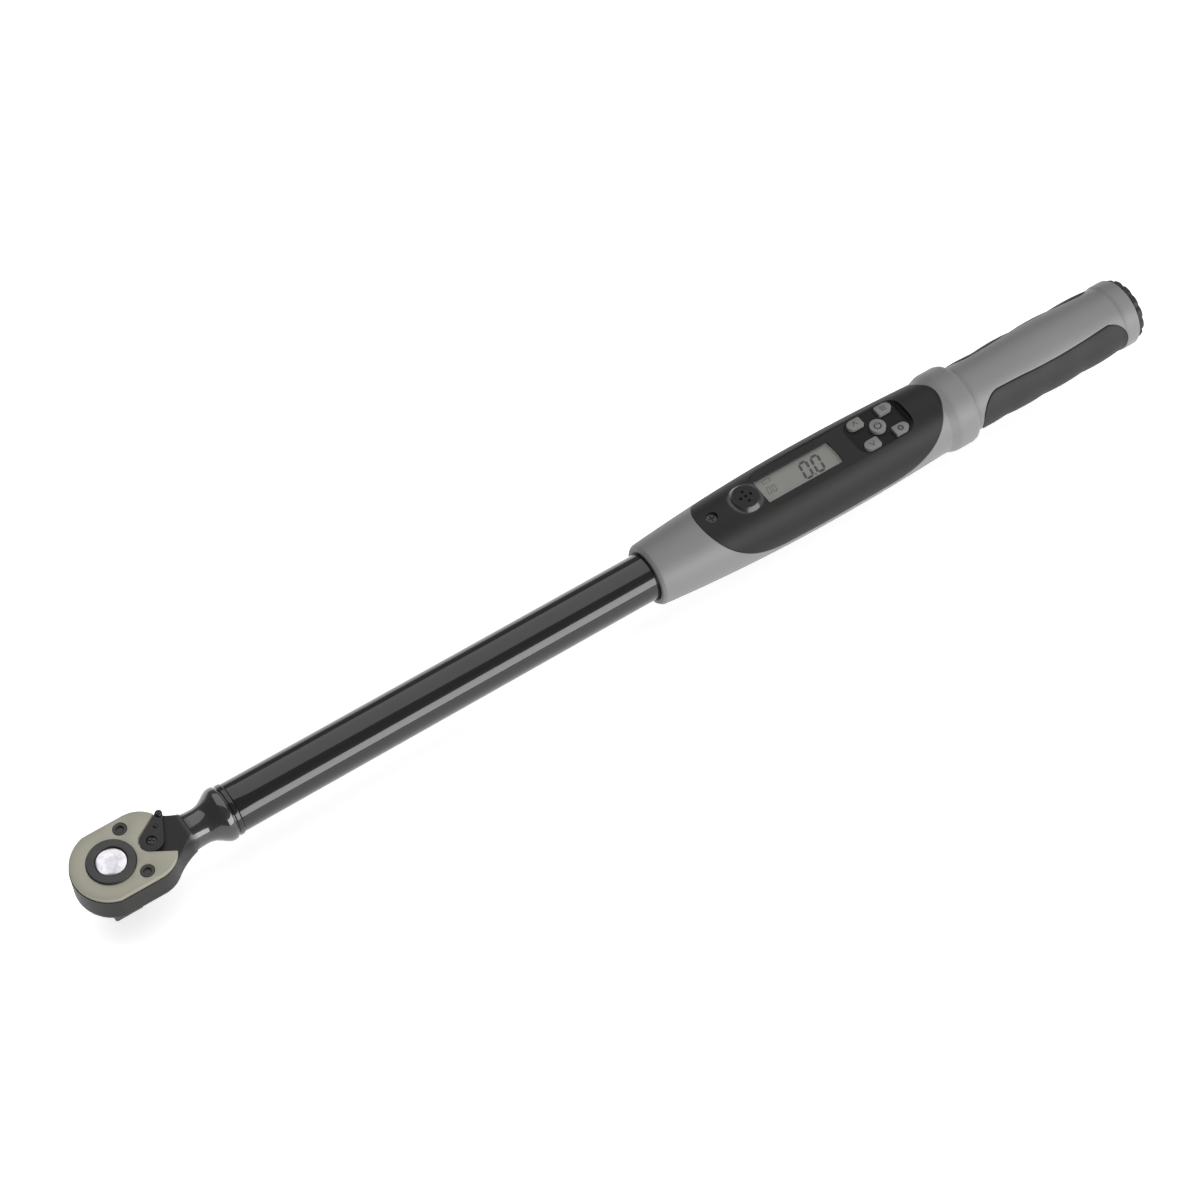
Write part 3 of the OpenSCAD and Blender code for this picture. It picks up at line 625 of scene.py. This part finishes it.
def skin(stations, low, high, across, lip=0.25, gap=0.0):
    """Rows of a shell between two angles, which rolls in at both edges. Stations are
    [x, radius]; radius may be a function of the angle."""
    rows, widest, marks = [], 0.5, [0, 0.06, 0.2, 0.45, 1]
    for x, radius in stations:
        mean = max(radius(0) if callable(radius) else radius, 0.01)
        a0 = math.radians(low(x)) + gap / mean
        a1 = math.radians(high(x)) - gap / mean
        closed = a1 - a0 >= math.tau - 0.01
        wide = max((a1 - a0) * mean, 0)
        edge = min(widest, wide * 0.1)
        ends = [edge * m / max(wide, 1e-6) for m in marks]
        steps = ends + [ends[-1] + (1 - 2 * ends[-1]) * k / across for k in range(1, across)] \
            + [1 - e for e in reversed(ends)]
        row = []
        for n, t in enumerate(steps):
            a = a0 + (a1 - a0) * t
            depth = min(n, len(steps) - 1 - n)
            near = marks[depth] if depth < len(marks) else 1
            dip = 0 if closed else lip * (edge / widest) * (1 - math.sqrt(1 - (1 - near) ** 2))
            r = (radius(a) if callable(radius) else radius) - dip
            row.append((x, r * math.cos(a), axis + r * math.sin(a)))
        rows.append(row)
    return rows


def shell(name, row_sets, thick, radial=False):
    """A shell from sets of rows, thickened towards the inside: evenly, or straight
    towards the wrench's centre line."""
    points, faces = [], []
    for rows in row_sets:
        more, quads = grid(rows)
        faces += [tuple(len(points) + i for i in quad) for quad in quads]
        points += more
    piece = make(name, points, faces)
    outward = 0
    for face in piece.data.polygons:
        outward += face.normal.dot(face.center - Vector((face.center.x, 0, axis * MM))) \
            * face.area
    if outward < 0:
        piece.data.flip_normals()
    if radial:
        rim = bmesh.new()
        rim.from_mesh(piece.data)
        core = bmesh.ops.extrude_face_region(rim, geom=rim.faces[:], use_keep_orig=True)["geom"]
        for corner in core:
            if isinstance(corner, bmesh.types.BMVert):
                out = Vector((0, corner.co.y, corner.co.z - axis * MM))
                corner.co -= out.normalized() * thick * MM
        bmesh.ops.recalc_face_normals(rim, faces=rim.faces)
        rim.to_mesh(piece.data)
        rim.free()
        return piece
    walls = piece.modifiers.new("walls", "SOLIDIFY")
    walls.thickness, walls.offset, walls.use_even_offset = thick * MM, -1, False
    settle(piece)
    return piece


def moulded(name, light, dark, roughness, grain, depth, edge=0.3, **sockets):
    """A moulded plastic: soft clouds, a spark-eroded grain and eased edges."""
    finish = Finish(name, **sockets)
    cloud = finish.noise(14, 4)
    speck = finish.noise(grain, 2)
    finish.set(Base_Color=finish.mix(cloud, dark, light),
               Roughness=roughness + (speck - 0.5) * 0.14 + (cloud - 0.5) * 0.08)
    eased = finish.node("ShaderNodeBevel", {"samples": 6}, {"Radius": edge * MM})
    finish.set(Normal=finish.node("ShaderNodeBump", {}, {
        "Strength": 1, "Distance": depth * MM, "Height": speck, "Normal": eased}))
    return finish


def always(angle):
    return lambda x: angle


fit, joint_x = 10.95, 421       # bore round the tube, and where the grip begins
front = rounded([(258, fit), (255.9, fit, 0.2), (255, 11.6, 0.4), (255, 13.2, 0.6),
                 (256.3, 14.15, 1.2), (262, barrel(262))], steps=6)
stations = front[:-1] + [(x, barrel(x)) for x in range(258, int(cover_front), 2)] \
    + [(x, barrel(x)) for x in swept(cover_front, cover_rear, 150)] \
    + [p for p in waist if p[0] > cover_rear + 0.1] \
    + [(joint_x, 16), (joint_x, fit), (joint_x - 2, fit)]
body = shell("housing_body", [skin(stations, lambda x: 180 - seam(x), lambda x: 360 + seam(x),
                                   110)], 1.8)
counterbore = 2.7
under = [post(x, 0, axis - 25, axis - 12.4, counterbore, 40) for x in (259, 414)]
combine(body, "DIFFERENCE", *under, solver="FAST")
grey_nylon = moulded("grey_nylon", shade(0.158, 0.005), shade(0.141, 0.01), 0.5, 0.35, 0.012,
                     Specular_IOR_Level=0.45)
fasten(body, "handle", "grey_plastic", grey_nylon, "lower_housing")


# ---- Cover ----
# Charcoal ABS moulding that closes the housing over the electronics. Its recess holds
# the display and keys, its boss the sounder, and one screw in front fixes it.

panel = axis + 14.9             # height of the recess's floor
inset = 0.15
lid_line = [(x, barrel(x)) for x in swept(cover_front + inset, cover_rear - inset, 150)]
cover = shell("cover_shell", [skin(lid_line, seam, lambda x: 180 - seam(x), 90, gap=0.1)], 4.2,
              radial=True)


def round_box(x0, x1, half, radius):
    """Outline of a rectangle with round corners, half wide to each side."""
    return rounded([(x1, half, radius), (x0, half, radius), (x0, -half, radius),
                    (x1, -half, radius)], True, 10)


def bullet(grow):
    """Outline of a corner key about its middle, with its point towards +X."""
    long, wide, cheek = 3.85 + grow, 2.5 + grow, 1.9 + grow
    nose = rounded([(1.2, wide), (3.0 + grow, cheek, 2.4), (long, 0, 1.7),
                    (3.0 + grow, -cheek, 2.4), (1.2, -wide)], steps=6)
    return rounded([(1.2, -wide), (-long, -wide, 0.7), (-long, wide, 0.7), (1.2, wide)],
                   steps=5)[1:-1] + nose


key_middle = (376.5, 0)         # of the centre key
key_along, key_across = 7.9, 6.4           # from there to the corner keys
corner_keys = {"upper_front": (-1, 1), "lower_front": (-1, -1), "upper_rear": (1, 1),
               "lower_rear": (1, -1)}


def key_outline(place, grow=0.0):
    """Outline of the corner key at place, or of the centre key where there is none."""
    if not place:
        return ring(*key_middle, 3.7 + grow, 48)
    points = [(key_middle[0] + place[0] * (key_along + x),
               key_middle[1] + place[1] * key_across + y) for x, y in bullet(grow)]
    return points if place[0] > 0 else points[::-1]


key_places = (None, *corner_keys.values())
window_x, window_long, window_wide = 333.95, 19.7, 6.5     # its middle and half sizes
screw_x, screw_bore = 288.4, 1.4
boss_x, boss_top = 306, axis + 18.3
boss_foot, boss_face = 7.4, 5.9            # its radii
deep, clear_of = axis + 5, axis + 30       # the cutting tools' usual ends
boss = turned("boss", rounded([(axis + 12, 0), (axis + 12, boss_foot), (axis + 16.4, boss_foot),
                               (boss_top, boss_face, 0.5), (boss_top, 0)]), boss_x, 0, 64)
combine(cover, "UNION", boss)
tools = [slab("tool", round_box(312.5, 391, 10.3, 6), panel, clear_of),
         slab("tool", round_box(362.5, 390.4, 9.7, 5.4), panel - 0.4, clear_of),
         bar(300, 395, -9.8, 9.8, axis + 4, panel - 1.8),
         slab("tool", round_box(window_x - window_long, window_x + window_long, window_wide,
                                0.3), deep, axis + 20),
         post(screw_x, 0, axis + 14, clear_of, counterbore, 40),
         post(screw_x, 0, deep, clear_of, screw_bore, 32)]
tools += [slab("tool", key_outline(place, 0.22), deep, axis + 20) for place in key_places]
tools += [post(boss_x + x, y, axis + 15.5, axis + 19, 0.7, 20)
          for x, y in ((0, 0), (2.6, 0), (-2.6, 0), (0, 2.6), (0, -2.6))]
combine(cover, "DIFFERENCE", *tools)
charcoal = moulded("charcoal_abs", shade(0.012, 0.02), shade(0.0095, 0.03), 0.5, 0.3, 0.008,
                   Specular_IOR_Level=0.19)
along, across = (charcoal.node("ShaderNodeSeparateXYZ", {}, {0: charcoal.place}, k)
                 for k in (0, 1))
along = along - boss_x * MM
reach = (along * along + across * across) * 10000         # square centimetres from its centre
worn = charcoal.ramp(reach, 0.31, 0.37) * (1 - charcoal.ramp(reach, 0.55, 0.7))
charcoal.set(Coat_Weight=worn * 0.7, Coat_Roughness=0.2)     # the boss's slope is worn smooth
fasten(cover, "handle", "charcoal_plastic", charcoal, "top_cover")

membrane = slab("key_surround", round_box(362.6, 390.3, 9.6, 5.3), panel - 0.42, panel - 0.2,
                [key_outline(place, 0.3) for place in key_places], 0.08, above=panel - 0.3)
surround_black = moulded("surround_black", shade(0.007), shade(0.004), 0.42, 0.3, 0.005, 0.1,
                         Specular_IOR_Level=0.12)
fasten(membrane, "handle", "charcoal_plastic", surround_black)


# ---- Display ----
# A reflective liquid crystal module behind a clear acrylic window. The figures are thin
# dark segments just under the glass; faint ones at one end stand by the battery's sign.

glass_low, glass_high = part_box("display_lens")
cell_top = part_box("lcd_module")[1].z / MM
glass_top = glass_high.z / MM
pane = slab("window_pane", round_box(glass_low.x / MM, glass_high.x / MM, glass_high.y / MM, 0.25),
            glass_low.z / MM, glass_top, round_off=0.12, above=glass_top - 0.3)
clear = Finish("clear_acrylic", Specular_IOR_Level=0.5, Alpha=0.12, IOR=1.49)
smear = clear.noise(4, 4)
clear.set(Base_Color=clear.mix(smear, shade(0.10), shade(0.14)), Roughness=0.08 + smear * 0.1)
fasten(pane, "handle", "clear_lens", clear, "display_lens")

backing = slab("display_cell", round_box(313, 355, 7.6, 0.4), cell_top - 1.15, cell_top)
silver = Finish("display_backing", Specular_IOR_Level=0.3)
mist = silver.noise(10, 3)
silver.set(Base_Color=silver.mix(mist, (0.205, 0.205, 0.185, 1), (0.24, 0.24, 0.218, 1)),
           Roughness=0.5 + (mist - 0.5) * 0.1)
fasten(backing, "handle", "display_grey", silver, "lcd_module")

slope = 0.18                   # how far the figures lean


def nought(x, tall, wide, heavy):
    """Outlines of the lit segments of a nought with its left foot at x."""
    for ends in (((0, 2), (1, 2)), ((1, 2), (1, 1)), ((1, 1), (1, 0)), ((0, 0), (1, 0)),
                 ((0, 1), (0, 0)), ((0, 2), (0, 1))):
        start, end = (Vector((x + u * wide, v * tall / 2)) for u, v in ends)
        way = (end - start).normalized()
        out = Vector((-way.y, way.x)) * heavy
        start, end = start + way * heavy * 0.25, end - way * heavy * 0.25
        yield [start, start + way * heavy + out, end - way * heavy + out, end,
               end - way * heavy - out, start + way * heavy - out]


def block(x0, x1, y0, y1):
    return [(x0, y0), (x1, y0), (x1, y1), (x0, y1)]


def ink(name, outlines, low, thick, foot, lean=0.0):
    """Thin flat marks, proud of what they are printed on; lean slopes them."""
    points, faces = [], []
    for outline in outlines:
        base = len(points)
        count = len(outline)
        for z in (low, low + thick):
            points += [(foot[0] + p[0] + lean * p[1], foot[1] + p[1], z) for p in outline]
        faces += [tuple(base + k for k in range(count)),
                  tuple(base + count + k for k in reversed(range(count)))]
        faces += [(base + k, base + (k + 1) % count, base + count + (k + 1) % count,
                   base + count + k) for k in range(count)]
    return make(name, points, faces)


marks = [m for x in (0, 6.1) for m in nought(x, 8.2, 3.6, 0.6)]
marks.append(block(4.45, 5.15, -0.35, 0.35))               # the decimal point
lcd_ink = Finish("display_figures", Roughness=0.6)
fade = lcd_ink.noise(3, 2)
lcd_ink.set(Base_Color=lcd_ink.mix(fade, shade(0.010), shade(0.018)))
fasten(ink("display_figures", marks, cell_top + 0.01, 0.04, (335.6, -4.3), slope), "handle",
       "display_grey", lcd_ink)
faint = [m for x in (0, 2.6) for m in nought(x, 3.4, 1.5, 0.2)]
faint += [block(-0.4, 3.6, 5.6, 5.9), block(-0.4, 3.6, 7.2, 7.5), block(-0.4, -0.1, 5.9, 7.2),
          block(3.3, 3.6, 5.9, 7.2), block(3.6, 3.95, 6.2, 6.9)]     # the battery's outline
faint_ink = Finish("display_marks", Roughness=0.6)
faint_ink.set(Base_Color=faint_ink.mix(faint_ink.noise(3, 2), shade(0.065), shade(0.09)))
fasten(ink("display_marks", faint, cell_top + 0.01, 0.03, (317.5, -2), slope), "handle",
       "display_grey", faint_ink)


# ---- Keys ----
# Five keys on one silicone mat, each a hard grey cap with a printed symbol. They stand
# through the cover and go down 0.6 mm.

key_grey = moulded("key_grey", shade(0.15, 0.01), shade(0.125, 0.02), 0.48, 0.25, 0.004, 0.2,
                   Specular_IOR_Level=0.4)
print_dark = Finish("key_print", Roughness=0.55)
print_dark.set(Base_Color=print_dark.mix(print_dark.noise(0.6, 3), shade(0.03), shade(0.055)))
key_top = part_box("centre_key")[1].z / MM


def stroke(x0, y0, x1, y1):
    """A printed line with square ends."""
    way = Vector((x1 - x0, y1 - y0)).normalized() * 0.24
    out = Vector((-way.y, way.x))
    a, b = Vector((x0, y0)), Vector((x1, y1))
    return [a - way - out, b + way - out, b + way + out, a - way + out]


def hoop(radius, start=0, end=360):
    """Short strokes round part of a circle."""
    points = arc(0, 0, radius, start, end, 20)
    return [stroke(*a, *b) for a, b in zip(points, points[1:])]


symbols = {
    "centre": hoop(1.5, 120, 420) + [stroke(0, 0.5, 0, 1.9)],
    "upper_front": [stroke(-1.2, -0.9, 0, 1.0), stroke(0, 1.0, 1.2, -0.9)],
    "lower_front": [stroke(-1.2, 0.9, 0, -1.0), stroke(0, -1.0, 1.2, 0.9)],
    "upper_rear": [stroke(-1.1, y, 1.1, y) for y in (-0.9, 0, 0.9)],
    "lower_rear": hoop(1.1) + [stroke(-0.4, 0, 0.4, 0)],
}
for name, symbol in symbols.items():
    place, node = corner_keys.get(name), f"{name}_key"
    rider = f"{node}_cap"
    cap = slab(f"{node}_top", key_outline(place), panel - 2, key_top,
               round_off=0.3, above=key_top - 0.3)
    fasten(cap, rider, "key_plastic", key_grey, node)
    middle = key_middle
    if place:
        middle = (middle[0] + place[0] * 7.6, middle[1] + place[1] * key_across)
    sign = ink(f"{node}_sign", symbol, key_top - 0.03, 0.05, middle)
    fasten(sign, rider, "key_plastic", print_dark)


# ---- Grip ----
# The rear grip is moulded in the same grey nylon. Black rubber pads with shallow finger
# waves are moulded into both its sides.

grip_start, grip_end = 421.3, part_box("grip_body")[1].x / MM
end_radius = 15.9
grip_line = curve_through([[423.4, 15.6], [444, 15.9], [458, 16.42], [472, 16.5], [484, 16.15],
                           [494, 15.7], [502, 15.35], [505.4, 15.3], [506.8, 15.75],
                           [508.4, 15.92], [510.5, end_radius]], 8)
grip_profile = [(422.5, fit), (grip_start, fit), (grip_start, 14.2)] \
    + rounded([(grip_start, 14.4), (421.6, 15.1, 0.6), (423.4, 15.6)]) + grip_line[1:] \
    + rounded([(510.6, end_radius), (grip_end, end_radius, 0.8), (grip_end, 13)]) \
    + [(grip_end, fit), (grip_end - 1.5, fit)]
pad_front, pad_rear, pad_tall, pad_corner = 425, 507, 11.8, 10


def grip_radius(x):
    for (x0, r0), (x1, r1) in zip(grip_line, grip_line[1:]):
        if x <= x1:
            return r0 + (r1 - r0) * max(x - x0, 0) / (x1 - x0)
    return end_radius


def pad_edge(x, shrink=0.0):
    """Angle in degrees of the rubber pad's upper edge at x."""
    tall, corner = pad_tall - shrink, pad_corner - shrink
    depth = min(x - (pad_front + shrink), pad_rear - shrink - x)
    if depth < 0.01:
        return 0.0
    height = tall
    if depth <= corner:
        height += math.sqrt(corner ** 2 - (corner - depth) ** 2) - corner
    return math.degrees(math.asin(height / grip_radius(x)))


ends = [pad_corner * (1 - math.cos(math.pi / 2 * k / 24)) for k in range(25)]
inner = [(x, grip_radius(x)) for x in
         [pad_front + d for d in ends] + list(range(437, 497, 2))
         + [pad_rear - d for d in reversed(ends)]]
outer = [p for p in grip_profile if p[0] < pad_front] + inner \
    + [p for p in grip_profile if p[0] > pad_rear]
sides = [skin(outer, pad_edge, lambda x: 180 - pad_edge(x), 60, lip=0.3),
         skin(outer, lambda x: 180 + pad_edge(x), lambda x: 360 - pad_edge(x), 60, lip=0.3)]
grip = shell("grip_moulding", sides, 1.6)
fasten(grip, "handle", "grey_plastic", grey_nylon, "grip_body")

rubber = Finish("black_rubber", Specular_IOR_Level=0.35)
pores = rubber.noise(0.25, 2)
bloom = rubber.noise(11, 4)
rubber.set(Base_Color=rubber.mix(bloom, shade(0.007), shade(0.013)),
           Roughness=0.62 + (bloom - 0.5) * 0.2)
rubber.bump(pores, 0.02)


def pad_radius(x):
    """The rubber's surface, with its finger waves."""
    return 15.38 + 0.45 * math.sin(math.pi * (x - 424) / 84) \
        + 0.5 * abs(math.cos(math.pi * (x - 450.5) / 21.5)) ** 0.8


gap = 0.12                      # between rubber and nylon
for side, node in ((0, "left_grip_insert"), (180, "right_grip_insert")):
    places = [x for x, r in inner][1:-1]
    rows = skin([(x, pad_radius(x)) for x in places],
                lambda x: side - pad_edge(x, gap), lambda x: side + pad_edge(x, gap), 50,
                lip=0.5)
    rubber_pad = shell(f"{node}_rubber", [rows], 1.8, radial=True)
    fasten(rubber_pad, "handle", "soft_rubber", rubber, node)


# ---- Battery cap ----
# Black nylon cap with a fluted rim and a flat end. It screws into the bush in the end of
# the grip and carries the spring and its seal.

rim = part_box("battery_cap")[1].x / MM


def fluted(radius, depth):
    """Radius against the angle, with fourteen rounded grooves."""
    def at(a):
        wave = 0.5 - 0.5 * math.cos(14 * a)
        return radius - depth * (1 - wave) ** 3
    return at


neck_radius, rim_thick = 9.8, 3.8
lid = [(rim - 16, 0), (rim - 16, neck_radius), (rim - rim_thick, neck_radius)]
lid += [(rim - behind, fluted(radius, depth)) for behind, radius, depth in (
    (rim_thick, 9.9, 0), (rim_thick, 13.6, 0.6), (3.6, 14.3, 0.75), (3.2, 14.6, 0.85),
    (2.2, 14.6, 0.85), (1.4, 14.6, 0.85), (0.8, 14.3, 0.8), (0.35, 13.6, 0.6), (0.1, 12.6, 0.3),
    (0.02, 11.4, 0.06), (0, 10.4, 0), (0, 0, 0))]
rows = skin(lid, always(0), always(360), 250, lip=0)
cap = make("end_cap", *grid(rows))
cap_nylon = moulded("cap_black_nylon", shade(0.018), shade(0.011), 0.5, 0.4, 0.01,
                    Specular_IOR_Level=0.28)
fasten(cap, "cap", "black_plastic", cap_nylon, "battery_cap")


# ---- Parts inside ----
# The ratchet's works, the beam, the electronics and the cells keep their CAD shapes.
# Each takes the finish of its real material.

finishes = {
    "bright_steel": coarse("bright_steel", shade(0.60), shade(0.48), 0.22, 0.3, 0.002,
                           Metallic=1.0),
    "gauge_foil": coarse("gauge_foil", (0.62, 0.40, 0.12, 1), (0.50, 0.30, 0.08, 1), 0.35, 0.3,
                         0.002, Metallic=0.6),
    "wire_sleeve": coarse("wire_sleeve", (0.28, 0.02, 0.02, 1), (0.20, 0.015, 0.015, 1), 0.5,
                          0.3, 0.005),
    "board_green": coarse("board_green", (0.02, 0.14, 0.05, 1), (0.012, 0.10, 0.035, 1), 0.35,
                          0.5, 0.004),
    "white_plastic": coarse("white_plastic", shade(0.55, 0.02), shade(0.48, 0.03), 0.5, 0.4,
                            0.006),
    "cell_jacket": coarse("cell_jacket", (0.35, 0.20, 0.05, 1), (0.26, 0.15, 0.04, 1), 0.3, 1.0,
                          0.002),
    "contact_brass": coarse("contact_brass", (0.62, 0.45, 0.18, 1), (0.50, 0.35, 0.13, 1), 0.28,
                            0.4, 0.002, Metallic=1.0),
    "black_screw": black_oxide, "black_plastic": cap_nylon, "soft_rubber": rubber,
    "chrome": chrome,
}
for name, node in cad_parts.items():
    if not node.hide_render:
        for place in node.material_slots:
            kind = "black_screw" if name == "cover_screw" else place.material.name.split(".")[0]
            place.material = finishes[kind].material


# ---- Studio ----
# A plain white table that glows faintly, as a lit one does, in dim surroundings. One broad
# light hangs overhead, and a low strip draws the long highlight down the tube.

table_half = 6000
table = make("floor", [(x * table_half, y * table_half, 0)
                       for x, y in ((-1, -1), (1, -1), (1, 1), (-1, 1))], [(0, 1, 2, 3)])
paper = Finish("white_table", Base_Color=shade(0.9), Roughness=0.9, Specular_IOR_Level=0.1,
               Emission_Color=shade(1.0), Emission_Strength=0.42)
table.data.materials.append(paper.material)

world = bpy.data.worlds.new("studio")
bpy.context.scene.world = world
world.use_nodes = True
world.node_tree.nodes["Background"].inputs["Color"].default_value = (1, 1, 1, 1)
world.node_tree.nodes["Background"].inputs["Strength"].default_value = 0.26

middle = Vector((0.25, 0, axis * MM))


def softbox(name, direction, distance, wide, tall, power):
    lamp = bpy.data.lights.new(name, "AREA")
    lamp.shape, lamp.size, lamp.size_y, lamp.energy = "RECTANGLE", wide, tall, power
    holder = bpy.data.objects.new(name, lamp)
    bpy.context.scene.collection.objects.link(holder)
    way = Vector(direction).normalized()
    holder.location = middle + way * distance
    holder.rotation_mode = "QUATERNION"
    holder.rotation_quaternion = way.to_track_quat("Z", "Y")
    return lamp


softbox("overhead_light", (0.25, 0.45, 1), 1.75, 3.0, 2.2, 30)
softbox("side_light", (0.336, -0.88, 0.31), 1.6, 2.2, 0.85, 38).use_shadow = False

scene = bpy.context.scene
scene.view_settings.view_transform = "Standard"
camera = bpy.data.objects.new("camera", bpy.data.cameras.new("camera"))
scene.collection.objects.link(camera)
scene.camera = camera
camera.data.sensor_width, camera.data.lens = 36, 85.213
camera.data.clip_start, camera.data.clip_end = 0.05, 30
camera.location = (-0.1456, -0.5565, 1.0117)
camera.rotation_mode = "QUATERNION"
target = Vector((0.2321, 0.0008, 0.024))
camera.rotation_quaternion = (target - camera.location).to_track_quat("-Z", "Y")
